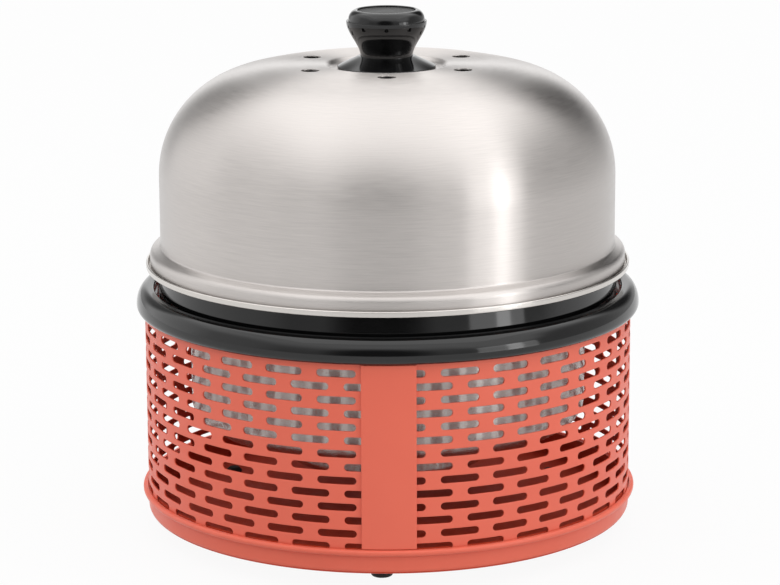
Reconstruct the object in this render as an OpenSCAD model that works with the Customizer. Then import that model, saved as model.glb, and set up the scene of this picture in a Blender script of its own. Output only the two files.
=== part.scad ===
// Tabletop barbecue grill. A slotted steel drum on three rubber feet carries a moulded ring.
// An inner bowl hangs in the ring, and a wire fire basket, a grill plate and a domed lid follow.
// Millimetres, +Z up. The origin is on the standing plane, under the middle of the drum.
// Angles round the drum start at the front (-Y) and grow towards the right (+X).

/* [Drum] */
// Outer radius of the slotted side wall
wall_r = 150; // [142:1:165]
// Height of the side wall's sheet
wall_h = 126; // [105:1:150]
// Thickness of the side wall's sheet
wall_t = 1.0; // [0.8:0.1:1.4]
// Length of one slot
slot_l = 23.4; // [14:0.1:24]
// Height of one slot
slot_w = 4.5; // [2.5:0.1:5]
// Distance from one row of slots to the next
row_pitch = 8.0; // [7:0.1:11]
// Slots in one row
slot_cols = 29; // [20:1:30]
// Distance from the ring's lower edge to the first row of slots
row_gap = 6.0; // [5:0.1:12]
// Angle that the slot pattern jumps at the sheet's seam
seam_jump = 3.08; // [0:0.01:4]
// Angle from the front to the first slot
slot_start = 3.8; // [3:0.1:5]

/* [Cover strip] */
// Width of the strip that hides the seam
strip_w = 32.2; // [26:0.1:40]
// Thickness of the strip
strip_t = 1.4; // [1:0.1:2]
// Angle from the front to the strip's middle
strip_turn = 0.1; // [-1:0.1:2]
// Shank diameter of the rivets behind the strip
rivet_d = 4; // [3:0.1:4.5]
// Head diameter of those rivets
rivet_head_d = 7; // [6:0.1:9]

/* [Bottom pan] */
// Height of the pan from its underside to the top of its lip
pan_h = 15.6; // [12:0.1:30]
// Thickness of the pan's floor
pan_t = 1.0; // [0.8:0.1:1.6]
// Radius of the pan's outer corner
pan_corner = 3.6; // [2:0.1:5]
// How far the rolled lip stands out from the wall
lip_reach = 3.3; // [2.2:0.1:6]
// Height of the rolled lip
lip_h = 3.7; // [3.5:0.1:6]
// How deep the side wall sits in the lip
lip_seat = 3.0; // [2:0.1:3.1]

/* [Feet] */
// Height of the feet under the pan
foot_h = 10.5; // [7:0.1:16]
// Diameter of a foot
foot_d = 13; // [11:0.1:20]
// Distance of the feet's middle from the side wall
foot_inset = 32; // [22:1:55]
// Angle of the front foot from the middle of the front
foot_turn = -2; // [-10:0.5:10]
// Diameter of the stem that goes through the pan
foot_stem_d = 6; // [4:0.1:7]
// Diameter of the head that holds a foot inside the pan
foot_head_d = 10; // [9:0.1:14]

/* [Top ring] */
// How far the ring stands out from the side wall
ring_reach = 5.0; // [4.4:0.1:8]
// Height of the ring below the top of the wall
ring_grip = 12.0; // [10:0.1:16]
// Height of the ring's rounded top above the wall
ring_crown = 3.0; // [2:0.1:5]
// How far the ring's rounded top overhangs the air gap
ring_lip = 2.4; // [1:0.1:2.8]
// Thickness of the ring's leg inside the wall
ring_leg = 2.2; // [1.5:0.1:3.5]
// Width of the air gap between the leg and the collar
air_gap = 6.1; // [5:0.1:9]
// Thickness of the collar
collar_t = 3.2; // [2.4:0.1:4]
// Height of the collar above the ring's top
collar_rise = 11.8; // [8:0.1:18]
// Number of webs that carry the collar
webs = 6; // [4:1:10]
// Angle that one web takes up
web_turn = 9; // [6:0.5:14]
// Number of screws that hold the ring
ring_screw_count = 3; // [2:1:3]
// Shank diameter of the ring's screws
ring_screw_d = 2.8; // [2:0.1:3]
// Head diameter of the ring's screws
ring_screw_head_d = 5.6; // [4.5:0.1:6.5]

/* [Inner bowl] */
// Thickness of the bowl's sheet
bowl_t = 0.8; // [0.6:0.1:1.2]
// Gap between the pan's floor and the underside of the fire well
bowl_clear = 31; // [20:0.5:40]
// Outer radius of the bowl's wall
bowl_wall_r = 122; // [112:1:126]
// Radius of the bend from the wall to the moat's floor
bowl_bend = 14; // [9:0.5:24]
// Height of the moat's underside above the well's underside
moat_up = 24; // [18:0.5:32]
// Outer radius of the fire well
well_r = 64; // [61:0.5:66]
// Outer radius of the raised weir round the well
weir_r = 73.8; // [72.5:0.1:77]
// Height of the weir's crest bend above the well's underside
weir_h = 42; // [36:0.5:52]
// How far the bowl's rim stands out past the ring's collar
rim_out = 8.3; // [6.5:0.1:10]
// Thickness of the hemmed rim
rim_t = 1.4; // [1.2:0.1:2]
// Height of the hemmed rim
rim_h = 3.7; // [3:0.1:6]
// Number of air holes in the well's wall
air_holes = 12; // [6:1:16]
// Diameter of an air hole
air_hole_d = 7; // [4:0.1:9]

/* [Fire basket] */
// Gap between the basket's rings and the wall of the fire well
basket_gap = 5.4; // [3.5:0.1:12]
// Height of the basket
basket_h = 64; // [50:0.5:90]
// Diameter of the ring wire
ring_wire = 3.6; // [3:0.1:4]
// Diameter of the upright and floor wire
basket_wire = 3.0; // [2.4:0.1:3.4]
// Number of uprights
uprights = 16; // [10:1:20]
// Number of floor bars
floor_bars = 9; // [5:2:11]

/* [Grill plate] */
// Thickness of the grill plate
plate_t = 3.0; // [2.4:0.1:4]
// Height of the plate's middle above its rim
plate_crown = 6; // [3:0.5:12]
// Depth of the fat gutter below the plate's seat
gutter_drop = 5; // [3:0.1:6]
// Width of the gutter's flat floor
gutter_w = 10; // [8:0.1:14]
// Number of holes in the gutter
gutter_holes = 24; // [12:1:36]
// Diameter of a gutter hole
gutter_hole_d = 6; // [4:0.1:7]
// Number of radial ribs
ribs = 24; // [12:1:30]
// Angle that one rib takes up
rib_turn = 2.4; // [1.5:0.1:4]
// Height of a rib
rib_h = 2; // [1:0.1:3]

/* [Lid] */
// Thickness of the lid's sheet
lid_t = 0.8; // [0.6:0.1:1.2]
// How far the lid's wall stands in from its skirt
lid_step = 6.4; // [5.5:0.1:9]
// Height of the skirt from its edge to the start of the ledge
skirt_h = 7.1; // [5:0.1:12]
// Radius of the ledge's outer bend
ledge_bend = 4.0; // [3:0.1:5]
// Radius of the crease between the ledge and the wall
crease_bend = 1.5; // [1:0.1:2.5]
// Slope of the ledge, from the vertical
ledge_turn = 65; // [55:1:75]
// Height of the straight wall
lid_wall_h = 42.4; // [25:0.1:60]
// Radius of the shoulder bend
shoulder_r = 64.5; // [50:0.5:75]
// Radius of the crown
crown_r = 405; // [350:1:480]
// How far the flat top lies below the crown's own peak
flat_drop = 5.9; // [5:0.1:6.5]
// Radius of the bend between the crown and the flat top
flat_bend = 90; // [70:1:110]
// Number of vent holes
vents = 6; // [5:1:9]
// Diameter of a vent hole
vent_d = 11; // [6:0.1:11]
// Distance of the vent holes from the middle
vent_place_r = 53; // [48:0.5:53]
// Depth of the dish in the flat top that the knob sits in
dish_drop = 2.6; // [1.6:0.1:3]
// Width of the dish's floor that shows round the knob's skirt
dish_gap = 2.6; // [2:0.1:4]
// Radius of the bends at the dish's edge
dish_bend = 4; // [3:0.1:5]

/* [Knob] */
// Radius of the knob's skirt
knob_skirt_r = 30; // [26:0.5:34]
// Height of the knob's skirt
knob_skirt_h = 7.3; // [5:0.1:10]
// Radius of the knob's neck
neck_r = 16; // [13:0.1:18]
// Radius of the knob's ridge
ridge_r = 24.5; // [22:0.1:28]
// Height of the grip from the skirt to the ridge
grip_h = 21.1; // [17:0.1:28]
// Height of the domed top above the ridge
top_h = 7.2; // [6:0.1:10]
// Radius of the plain disc in the top
disc_r = 17.6; // [13:0.1:18.5]
// Depth of the disc below the top's edge
disc_drop = 1.2; // [0.6:0.1:2]
// Thickness of the disc
disc_t = 1.5; // [1:0.1:2]
// Number of dimples round the grip
dimples = 10; // [6:1:14]
// Diameter of a dimple
dimple_d = 2.2; // [1.4:0.1:3]
// Thread diameter of the knob's screw
screw_d = 6; // [5:0.1:8]
// Length of the screw under its head
screw_l = 22; // [16:0.5:23]
// Head diameter of the screw
screw_head_d = 11; // [10:0.1:14]
// Diameter of the washer under the screw's head
washer_d = 20; // [16:0.5:30]
// Thickness of the washer
washer_t = 1.5; // [1:0.1:2.5]

/* [Fits] */
// Gap between round pieces that sit in each other
fit = 0.3; // [0.2:0.05:0.4]
// Gap between the bowl's neck and the ring's collar
bowl_fit = 0.6; // [0.4:0.1:1]
// Gap between the lid's skirt and the bowl's rim
lid_fit = 1.2; // [0.8:0.1:1.6]
// Gap between the grill plate and what surrounds it
plate_fit = 0.8; // [0.5:0.1:1.2]

/* [Hidden] */
$fn = 96;

coral = [0.87, 0.44, 0.36];
steel = [0.76, 0.75, 0.73];
black = [0.07, 0.07, 0.07];
iron = [0.16, 0.16, 0.17];

// Heights, from the table upwards
pan_z = foot_h;
lip_top = pan_z + pan_h;
wall_z = lip_top - lip_seat;
wall_top = wall_z + wall_h;
ring_z = wall_top - ring_grip;
ring_top = wall_top + ring_crown;
flange_z = ring_top + collar_rise;
seat_z = flange_z + bowl_t;
well_z = pan_z + pan_t + bowl_clear;
basket_z = well_z + bowl_t + fit;
ledge_z = seat_z + skirt_h;

// Radii, from the wall inwards
wall_in = wall_r - wall_t;
foot_place_r = wall_r - foot_inset;
leg_in = wall_in - fit - ring_leg;
collar_r = leg_in - air_gap;
collar_in = collar_r - collar_t;
bowl_neck_r = collar_in - bowl_fit;
rim_r = collar_r + rim_out;
lid_skirt_r = rim_r - rim_t - lid_fit;
lid_r = lid_skirt_r - lid_step;
plate_r = lid_skirt_r - lid_t - plate_fit;
flange_bend = collar_t * 0.78;
gutter_r = bowl_neck_r - bowl_t - plate_fit;

// Slots: the rows that fit between the ring and the lip, and their spacing round the drum
first_row_z = ring_z - row_gap;
slot_rows = floor((first_row_z - lip_top) / row_pitch + 1);
col_turn = (360 - seam_jump) / slot_cols;
rivet_turn = slot_start + ((slot_cols - 1) * col_turn - 360) / 2;
rivet_rows = [2, 2 * floor(slot_rows / 4), 2 * floor((slot_rows - 2) / 2)];

// Lid: the ledge bends back to the wall, the shoulder and the crown meet in tangents
ledge_run = (lid_step - (ledge_bend + crease_bend) * (1 - cos(ledge_turn))) / sin(ledge_turn);
lid_wall_z = ledge_z + (ledge_bend + crease_bend) * sin(ledge_turn) + ledge_run * cos(ledge_turn);
shoulder_z = lid_wall_z + lid_wall_h;
shoulder_x = lid_r - shoulder_r;
crown_z = shoulder_z - sqrt(pow(crown_r - shoulder_r, 2) - pow(shoulder_x, 2));
shoulder_turn = atan2(shoulder_z - crown_z, shoulder_x);
flat_z = crown_z + crown_r - flat_drop;
flat_bend_z = flat_z - flat_bend;
flat_x = sqrt(pow(crown_r - flat_bend, 2) - pow(flat_bend_z - crown_z, 2));
crown_turn = atan2(flat_bend_z - crown_z, flat_x);
dish_z = flat_z - dish_drop;
dish_turn = acos(1 - dish_drop / (2 * dish_bend));
dish_r = knob_skirt_r + dish_gap;
dish_brink_r = dish_r + 2 * dish_bend * sin(dish_turn);

// Knob heights
grip_z = dish_z + knob_skirt_h;
ridge_z = grip_z + grip_h;
knob_z = ridge_z + top_h;
screw_z = dish_z - lid_t - washer_t;

// Points along an arc round (x, z), from angle a to angle b
function arc(x, z, r, a, b, n = 10) =
    [for (i = [0 : n]) let (t = a + (b - a) * i / n) [x + r * cos(t), z + r * sin(t)]];
function backwards(points) = [for (i = [len(points) - 1 : -1 : 0]) points[i]];
function smooth(t) = t * t * (3 - 2 * t);

module revolve(points) {
    rotate_extrude() polygon(points);
}

module sector(points, middle, turn) {
    rotate([0, 0, middle - 90 - turn / 2]) rotate_extrude(angle = turn) polygon(points);
}

// Puts a piece that points along +Y, outwards, on the drum at an angle and a height
module at_wall(turn, z) {
    rotate([0, 0, turn + 180]) translate([0, 0, z]) children();
}

// A round bar from the radius a to the radius b, along +Y
module radial_bar(d, a, b) {
    translate([0, a, 0]) rotate([-90, 0, 0]) cylinder(d = d, h = b - a, $fn = 32);
}

// Bottom pan: a shallow dish with a rolled lip that the side wall sits in
module bottom_pan() {
    lip_low = lip_top - lip_h;
    half = lip_h / 2;
    inner_corner = pan_corner - pan_t;
    seat_in = wall_in - fit;
    color(coral) difference() {
        revolve(concat(
            [[0, pan_z]],
            arc(wall_r - pan_corner, pan_z + pan_corner, pan_corner, -90, 0),
            arc(wall_r + lip_reach - half, lip_low + half, half, -90, 90),
            [[wall_r + fit, lip_top], [wall_r + fit, wall_z], [seat_in, wall_z], [seat_in, lip_top],
                [seat_in - 2 * pan_t, lip_top]],
            [[seat_in - 2 * pan_t, lip_low - pan_t]],
            [[wall_r - pan_t, lip_low - 2 * pan_t]],
            backwards(arc(wall_r - pan_corner, pan_z + pan_corner, inner_corner, -90, 0)),
            [[0, pan_z + pan_t]]));
        for (k = [0 : 2])
            rotate([0, 0, foot_turn + 120 * k]) translate([0, -foot_place_r, pan_z - pan_t])
                cylinder(d = foot_stem_d + fit, h = 3 * pan_t, $fn = 48);
    }
}

// Side wall: rolled sheet with staggered rows of round-ended slots
module slot_outline() {
    square([slot_l - slot_w, slot_w], center = true);
    for (side = [-1, 1])
        translate([side * (slot_l - slot_w) / 2, 0]) circle(d = slot_w, $fn = 24);
}

module side_wall() {
    color(coral) difference() {
        rotate_extrude() translate([wall_in, wall_z]) square([wall_t, wall_h]);
        for (row = [0 : slot_rows - 1], col = [0 : slot_cols - 1])
            at_wall(slot_start + (col + (row % 2) / 2) * col_turn, first_row_z - row * row_pitch)
                translate([0, wall_in - wall_t, 0]) rotate([-90, 0, 0])
                    linear_extrude(3 * wall_t) slot_outline();
        ring_screw_places() radial_bar(ring_screw_d + fit, wall_in - wall_t, wall_r + wall_t);
        rivet_places() radial_bar(rivet_d + fit, wall_in - wall_t, wall_r + wall_t);
    }
}

// Cover strip over the seam, from the lip to the ring
module cover_strip() {
    strip_in = wall_r + fit / 2;
    turn = 2 * asin(strip_w / 2 / (strip_in + strip_t));
    low = lip_top + fit;
    high = ring_z - fit;
    color(coral) sector([[strip_in, low], [strip_in + strip_t, low],
        [strip_in + strip_t, high], [strip_in, high]], strip_turn, turn);
}

module rivet_places() {
    for (row = rivet_rows)
        at_wall(rivet_turn, first_row_z - row * row_pitch) children();
}

// Rivets welded to the strip's back, headed over inside the wall
module strip_rivets() {
    head_h = rivet_d / 2;
    color(steel) rivet_places() {
        radial_bar(rivet_d, wall_in - fit, wall_r);
        radial_bar(rivet_head_d, wall_in - fit - head_h, wall_in - fit);
    }
}

// Top ring: a rounded bead over the wall's edge, an upright collar, and webs between them
module ring_screw_places() {
    for (k = [0 : ring_screw_count - 1])
        at_wall(180 / webs + k * 360 / ring_screw_count, ring_z + ring_grip * 0.36) children();
}

module top_ring() {
    out = wall_r + ring_reach;
    edge = ring_leg * 0.45;
    low_bend = ring_reach - edge;
    crest = out - leg_in - edge;
    crest_h = ring_top - ring_z - low_bend;
    lip_in = leg_in - ring_lip;
    lip_bend = ring_lip * 0.65;
    web_z = ring_z + ring_grip / 3;
    foot_out = collar_r + collar_t / 4;
    foot_top = ring_top + edge;
    color(black) difference() {
        union() {
            revolve(concat(
                [[wall_r + fit, ring_z]],
                arc(out - low_bend, ring_z + low_bend, low_bend, -90, 0),
                [for (t = [9 : 9 : 90]) [out - crest * (1 - cos(t)), ring_top - crest_h * (1 - sin(t))]],
                arc(lip_in + lip_bend, ring_top - lip_bend, lip_bend, 90, 180, 6),
                [[lip_in, ring_top - 2 * lip_bend], [leg_in, ring_top - 2 * lip_bend - ring_lip],
                    [leg_in, ring_z], [wall_in - fit, ring_z],
                    [wall_in - fit, wall_top], [wall_r + fit, wall_top]]));
            revolve([[collar_in, web_z], [foot_out, web_z], [foot_out, foot_top],
                [collar_r, foot_top + collar_t / 4], [collar_r, flange_z],
                [bowl_neck_r + flange_bend, flange_z], [collar_in, flange_z - flange_bend]]);
            for (k = [0 : webs - 1])
                sector([[collar_r, web_z], [leg_in + ring_leg / 2, web_z],
                    [leg_in + ring_leg / 2, wall_top], [collar_r, wall_top]], k * 360 / webs, web_turn);
        }
        ring_screw_places()
            radial_bar(ring_screw_d + fit, leg_in - ring_leg, wall_r + ring_reach / 2 + fit);
    }
}

module ring_screws() {
    head_h = ring_screw_d * 0.7;
    seat = leg_in - fit / 2;
    color(steel) ring_screw_places() {
        radial_bar(ring_screw_d, seat, wall_r + ring_reach / 2);
        radial_bar(ring_screw_head_d, seat - head_h, seat);
    }
}

// Feet: push-in rubber feet, with a stem through the pan and a head that holds them
module foot(place) {
    edge = foot_d / 9;
    stem_r = foot_stem_d / 2;
    head_r = foot_head_d / 2;
    head_z = pan_z + pan_t;
    head_h = foot_head_d * 0.3;
    color(black) rotate([0, 0, foot_turn + 120 * place]) translate([0, -foot_place_r, 0])
        revolve(concat(
            [[0, 0]],
            arc(foot_d / 2 - edge, edge, edge, -90, 0, 5),
            [[foot_d / 2, pan_z], [stem_r, pan_z], [stem_r, head_z], [head_r, head_z],
                [head_r, head_z + head_h / 3], [stem_r, head_z + head_h], [0, head_z + head_h]]));
}

module foot_front() { foot(0); }
module foot_rear_right() { foot(1); }
module foot_rear_left() { foot(2); }

// Inner bowl: one pressed sheet. The path runs from the flange to the middle, i above the underside
neck_bend = 5;
neck_turn = 60;
neck_run = (bowl_neck_r - bowl_wall_r - 2 * neck_bend * (1 - cos(neck_turn))) / sin(neck_turn);
neck_drop = 2 * neck_bend * sin(neck_turn) + neck_run * cos(neck_turn);
neck_z = flange_z - gutter_drop - 2 * neck_bend;
moat_bend = 8;
crest_bend = (weir_r - well_r) / 2;
bend_x = bowl_wall_r - bowl_bend;
moat_x = weir_r + moat_bend;
moat_z = well_z + moat_up;
well_bend = 5;

function bowl_path(i) = concat(
    [[rim_r - rim_t, flange_z + i]],
    arc(bowl_neck_r + flange_bend, flange_z - flange_bend, flange_bend + i, 90, 180, 6),
    arc(bowl_neck_r - neck_bend, neck_z, neck_bend - i, 0, -neck_turn, 6),
    arc(bowl_wall_r + neck_bend, neck_z - neck_drop, neck_bend + i, 180 - neck_turn, 180, 6),
    arc(bend_x, moat_z + bowl_bend, bowl_bend - i, 0, -90, 10),
    arc(moat_x, moat_z + moat_bend, moat_bend - i, -90, -180, 8),
    arc(weir_r - crest_bend, well_z + weir_h, crest_bend + i, 0, 180, 12),
    arc(well_r - well_bend, well_z + well_bend, well_bend - i, 0, -90, 6),
    [[0, well_z + i]]);

module inner_bowl() {
    hem = rim_t / 2;
    rim_x = rim_r - hem;
    air_z = well_z + weir_h - air_hole_d;
    color(steel) difference() {
        revolve(concat(
            arc(rim_x, flange_z + rim_h - hem, hem, 180, 0, 8),
            arc(rim_r - hem, flange_z + hem, hem, 0, -90, 4),
            bowl_path(0), backwards(bowl_path(bowl_t))));
        for (k = [0 : air_holes - 1])
            at_wall(k * 360 / air_holes, air_z)
                radial_bar(air_hole_d, well_r - 4 * bowl_t, well_r + crest_bend);
    }
}

// Fire basket: three wire rings, uprights welded inside them, and bars across the base ring
basket_r = well_r - bowl_t - basket_gap - ring_wire / 2;
upright_r = basket_r - (ring_wire + basket_wire) / 2 - fit / 2;

module wire_ring(z) {
    rotate_extrude() translate([basket_r, z]) circle(d = ring_wire, $fn = 24);
}

module basket_top_ring() {
    color(steel) wire_ring(basket_z + basket_h - ring_wire / 2);
}

module basket_middle_ring() {
    color(steel) wire_ring(basket_z + basket_h / 2);
}

module basket_base_ring() {
    color(steel) wire_ring(basket_z + ring_wire / 2);
}

module basket_uprights() {
    color(steel) for (k = [0 : uprights - 1])
        at_wall(k * 360 / uprights, basket_z)
            translate([0, upright_r, 0]) cylinder(d = basket_wire, h = basket_h, $fn = 24);
}

module basket_floor() {
    reach = upright_r - basket_wire / 2 - fit / 2;
    step = 2 * reach / (floor_bars + 1);
    bar_z = basket_z + ring_wire + basket_wire / 2;
    color(steel) {
        for (k = [1 : floor_bars]) {
            y = -reach + k * step;
            half = sqrt(reach * reach - pow(abs(y) + basket_wire / 2, 2));
            translate([-half, y, bar_z]) rotate([0, 90, 0]) cylinder(d = basket_wire, h = 2 * half, $fn = 24);
        }
        translate([0, -reach + step, bar_z - basket_wire]) rotate([-90, 0, 0])
            cylinder(d = basket_wire + fit, h = 2 * (reach - step), $fn = 24);
    }
}

// Grill plate: a cast plate with a rim, a gutter with holes, and a ribbed crown
crown_edge = gutter_r - gutter_w - gutter_drop - plate_t;

function plate_top(r) = seat_z + plate_t + plate_crown * (1 - pow(r / crown_edge, 2));

module grill_plate() {
    gutter_z = seat_z - gutter_drop;
    wall = plate_t;
    hole_r = gutter_r - wall - gutter_w / 2;
    edge = plate_t / 3;
    under = 1 - 0.6 * plate_t / crown_edge;
    rib_a = crown_edge * 0.35;
    rib_b = crown_edge * 0.97;
    top = [for (i = [0 : 12]) let (r = crown_edge * i / 12) [r, plate_top(r)]];
    rib_line = [for (i = [0 : 6]) let (r = rib_a + (rib_b - rib_a) * i / 6) [r, plate_top(r)]];
    color(iron) {
        difference() {
            revolve(concat(
                top,
                [[gutter_r - wall - gutter_w, gutter_z + plate_t], [gutter_r - wall, gutter_z + plate_t],
                    [gutter_r - wall / 2, seat_z + plate_t], [plate_r - edge, seat_z + plate_t],
                    [plate_r, seat_z + plate_t - edge], [plate_r, seat_z], [gutter_r, seat_z],
                    [gutter_r - edge, gutter_z], [gutter_r - wall - gutter_w - edge, gutter_z]],
                [for (p = backwards(top)) [p[0] * under, p[1] - plate_t]]));
            for (k = [0 : gutter_holes - 1])
                rotate([0, 0, k * 360 / gutter_holes]) translate([0, -hole_r, gutter_z - plate_t])
                    cylinder(d = gutter_hole_d, h = 3 * plate_t, $fn = 32);
        }
        for (k = [0 : ribs - 1])
            sector(concat([for (p = rib_line) [p[0], p[1] - rib_h / 2]],
                [for (p = backwards(rib_line)) [p[0], p[1] + rib_h]]), k * 360 / ribs, rib_turn);
    }
}

// Lid: a spun dome. The path runs from the skirt's edge to the middle, i inside the outer face
function lid_path(i) = concat(
    [[lid_skirt_r - i, seat_z]],
    arc(lid_skirt_r - ledge_bend, ledge_z, ledge_bend - i, 0, ledge_turn, 6),
    arc(lid_r + crease_bend, lid_wall_z, crease_bend + i, 180 + ledge_turn, 180, 6),
    arc(shoulder_x, shoulder_z, shoulder_r - i, 0, shoulder_turn, 20),
    arc(0, crown_z, crown_r - i, shoulder_turn, crown_turn, 8),
    arc(flat_x, flat_bend_z, flat_bend - i, crown_turn, 90, 6),
    arc(dish_brink_r, flat_z - dish_bend, dish_bend - i, 90, 90 + dish_turn, 5),
    arc(dish_r, dish_z + dish_bend, dish_bend + i, 270 + dish_turn, 270, 5),
    [[0, dish_z - i]]);

module lid_dome() {
    color(steel) difference() {
        revolve(concat(lid_path(0), backwards(lid_path(lid_t))));
        for (k = [0 : vents - 1])
            rotate([0, 0, k * 360 / vents]) translate([0, -vent_place_r, flat_z - 3 * lid_t])
                cylinder(d = vent_d, h = 6 * lid_t, $fn = 48);
        translate([0, 0, dish_z - 3 * lid_t]) cylinder(d = screw_d + fit, h = 6 * lid_t, $fn = 48);
    }
}

// Knob skirt: a shallow cone that keeps heat from the grip
module knob_skirt() {
    edge = knob_skirt_h / 5;
    bore = screw_d / 2 + fit;
    color(black) revolve([[bore, dish_z], [knob_skirt_r, dish_z], [knob_skirt_r, dish_z + edge],
        [neck_r + edge, grip_z], [bore, grip_z]]);
}

// Knob grip: a waisted body with a ridge, a row of dimples and a threaded bore
ridge_edge = top_h / 12;
ridge_step = 2 * ridge_edge;
socket_r = disc_r + ridge_step;
socket_z = ridge_z - grip_h / 6.5;
top_seat = ridge_z + ridge_edge;
disc_z = knob_z - disc_drop;

module knob_grip() {
    steps = 14;
    bore_top = screw_z + screw_l + fit;
    dimple_z = ridge_z - grip_h * 0.13;
    dimple_r = neck_r + (ridge_r - neck_r) * smooth((dimple_z - grip_z) / grip_h);
    color(black) difference() {
        revolve(concat(
            [[0, grip_z]],
            [for (i = [0 : steps]) let (t = i / steps)
                [neck_r + (ridge_r - neck_r) * smooth(t), grip_z + grip_h * t]],
            [[ridge_r, top_seat], [socket_r, top_seat], [socket_r, socket_z], [0, socket_z]]));
        translate([0, 0, dish_z]) cylinder(d = screw_d + fit, h = bore_top - dish_z, $fn = 48);
        for (k = [0 : dimples - 1])
            at_wall(k * 360 / dimples, dimple_z)
                radial_bar(dimple_d, dimple_r - dimple_d / 3, ridge_r + dimple_d);
    }
}

// Knob top: a domed ring that plugs into the grip, and the plain disc in it
module knob_top() {
    plug_r = socket_r - fit / 2;
    pocket_r = disc_r + fit / 2;
    brim_r = pocket_r + ridge_edge;
    foot_r = ridge_r - ridge_step;
    color(black) revolve(concat(
        [[0, socket_z], [plug_r, socket_z], [plug_r, top_seat]],
        [for (i = [0 : 10]) let (t = i / 10 * 90)
            [brim_r + (foot_r - brim_r) * cos(t), top_seat + (knob_z - top_seat) * sin(t)]],
        [[pocket_r, knob_z - fit], [pocket_r, disc_z - disc_t], [0, disc_z - disc_t]]));
}

module knob_disc() {
    color(black) revolve([[0, disc_z - disc_t], [disc_r, disc_z - disc_t], [disc_r, disc_z + fit],
        [disc_r - ridge_step, disc_z], [0, disc_z]]);
}

// Screw and washer inside the lid, which clamp the knob
module knob_screw() {
    head_h = screw_d * 0.6;
    head_r = screw_head_d / 2;
    edge = head_h / 4;
    color(steel) revolve([[0, screw_z - head_h], [head_r - edge, screw_z - head_h],
        [head_r, screw_z - head_h + edge], [head_r, screw_z], [screw_d / 2, screw_z],
        [screw_d / 2, screw_z + screw_l], [0, screw_z + screw_l]]);
}

module knob_washer() {
    bore = (screw_d + fit) / 2;
    top = screw_z + washer_t;
    color(steel) revolve([[bore, screw_z], [washer_d / 2, screw_z], [washer_d / 2, top], [bore, top]]);
}

bottom_pan();
side_wall();
cover_strip();
strip_rivets();
top_ring();
ring_screws();
foot_front();
foot_rear_right();
foot_rear_left();
inner_bowl();
basket_top_ring();
basket_middle_ring();
basket_base_ring();
basket_uprights();
basket_floor();
grill_plate();
lid_dome();
knob_skirt();
knob_grip();
knob_top();
knob_disc();
knob_screw();
knob_washer();
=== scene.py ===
# %% [markdown]
# # A tabletop barbecue grill, piece by piece
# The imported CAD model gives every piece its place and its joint. This lesson dresses that frame: it
# models the pieces that show again with fine edges, and gives all of them a finish. The frame is
# loaded first, because each size below is read from it or set against it.

# %% Load the frame
import math

import bmesh
import bpy
from mathutils import Matrix, Vector


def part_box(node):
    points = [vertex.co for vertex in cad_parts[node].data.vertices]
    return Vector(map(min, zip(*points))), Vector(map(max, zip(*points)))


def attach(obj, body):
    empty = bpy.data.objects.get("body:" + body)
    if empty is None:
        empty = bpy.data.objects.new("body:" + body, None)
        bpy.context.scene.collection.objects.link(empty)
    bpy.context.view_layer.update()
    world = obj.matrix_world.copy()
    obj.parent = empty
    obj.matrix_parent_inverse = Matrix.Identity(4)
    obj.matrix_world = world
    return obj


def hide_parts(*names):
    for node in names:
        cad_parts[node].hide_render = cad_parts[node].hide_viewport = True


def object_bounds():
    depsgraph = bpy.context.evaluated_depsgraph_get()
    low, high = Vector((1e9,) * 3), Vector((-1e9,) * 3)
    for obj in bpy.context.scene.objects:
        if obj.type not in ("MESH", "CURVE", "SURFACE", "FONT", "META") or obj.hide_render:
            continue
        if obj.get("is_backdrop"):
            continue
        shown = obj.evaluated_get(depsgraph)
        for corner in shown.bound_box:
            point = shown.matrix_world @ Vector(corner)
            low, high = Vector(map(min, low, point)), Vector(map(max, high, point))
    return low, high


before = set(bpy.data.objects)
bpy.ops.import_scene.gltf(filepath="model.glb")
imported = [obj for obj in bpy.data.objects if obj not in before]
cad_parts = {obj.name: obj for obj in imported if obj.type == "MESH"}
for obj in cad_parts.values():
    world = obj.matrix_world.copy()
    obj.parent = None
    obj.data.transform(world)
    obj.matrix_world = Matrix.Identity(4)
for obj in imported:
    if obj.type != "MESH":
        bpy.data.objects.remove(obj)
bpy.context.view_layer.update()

MM = 0.001
scene = bpy.context.scene
scene.view_settings.view_transform = "Standard"

# %% [markdown]
# ## The camera
# The picture was taken from the front and a little above, with a long lens. The camera's height, its
# distance and its tilt were worked out from the rows of slots and the circles of the ring and the lid.
# It leans a quarter of a degree, and a small shift brings the drum's axis to where it stands in the picture.

# %% Camera
IMAGE_W = 780
SENSOR_MM = 36
FOCAL_PX = 3097
TILT_DOWN, LEAN = 13.15, 0.26
AXIS_LEFT_PX = 2.3

camera_data = bpy.data.cameras.new("photo_camera")
camera_data.sensor_width = SENSOR_MM
camera_data.lens = FOCAL_PX * SENSOR_MM / IMAGE_W
camera_data.shift_x = AXIS_LEFT_PX / IMAGE_W
camera = bpy.data.objects.new("photo_camera", camera_data)
camera.location = (0, -1.867, 0.5806)
tilted = Matrix.Rotation(math.radians(90 - TILT_DOWN), 3, "X")
camera.rotation_euler = (tilted @ Matrix.Rotation(math.radians(-LEAN), 3, "Z")).to_euler()
scene.collection.objects.link(camera)
scene.camera = camera
print("lens:", round(camera_data.lens, 1), "mm")

# %% [markdown]
# ## A helper for node trees
# Every finish here is a small tree of nodes. A helper that adds a node, sets its options and fills or
# links its sockets keeps each finish readable, and saves a line for every wire.

# %% Node helpers
FINISH_MARK = "_finish"


def add(tree, kind, inputs=None, **options):
    """Add a shader node, set its options, and fill or link its inputs."""
    node = tree.nodes.new("ShaderNode" + kind)
    for option, value in options.items():
        setattr(node, option, value)
    for socket, value in (inputs or {}).items():
        if isinstance(value, bpy.types.NodeSocket):
            tree.links.new(value, node.inputs[socket])
        else:
            node.inputs[socket].default_value = value
    return node


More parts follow.
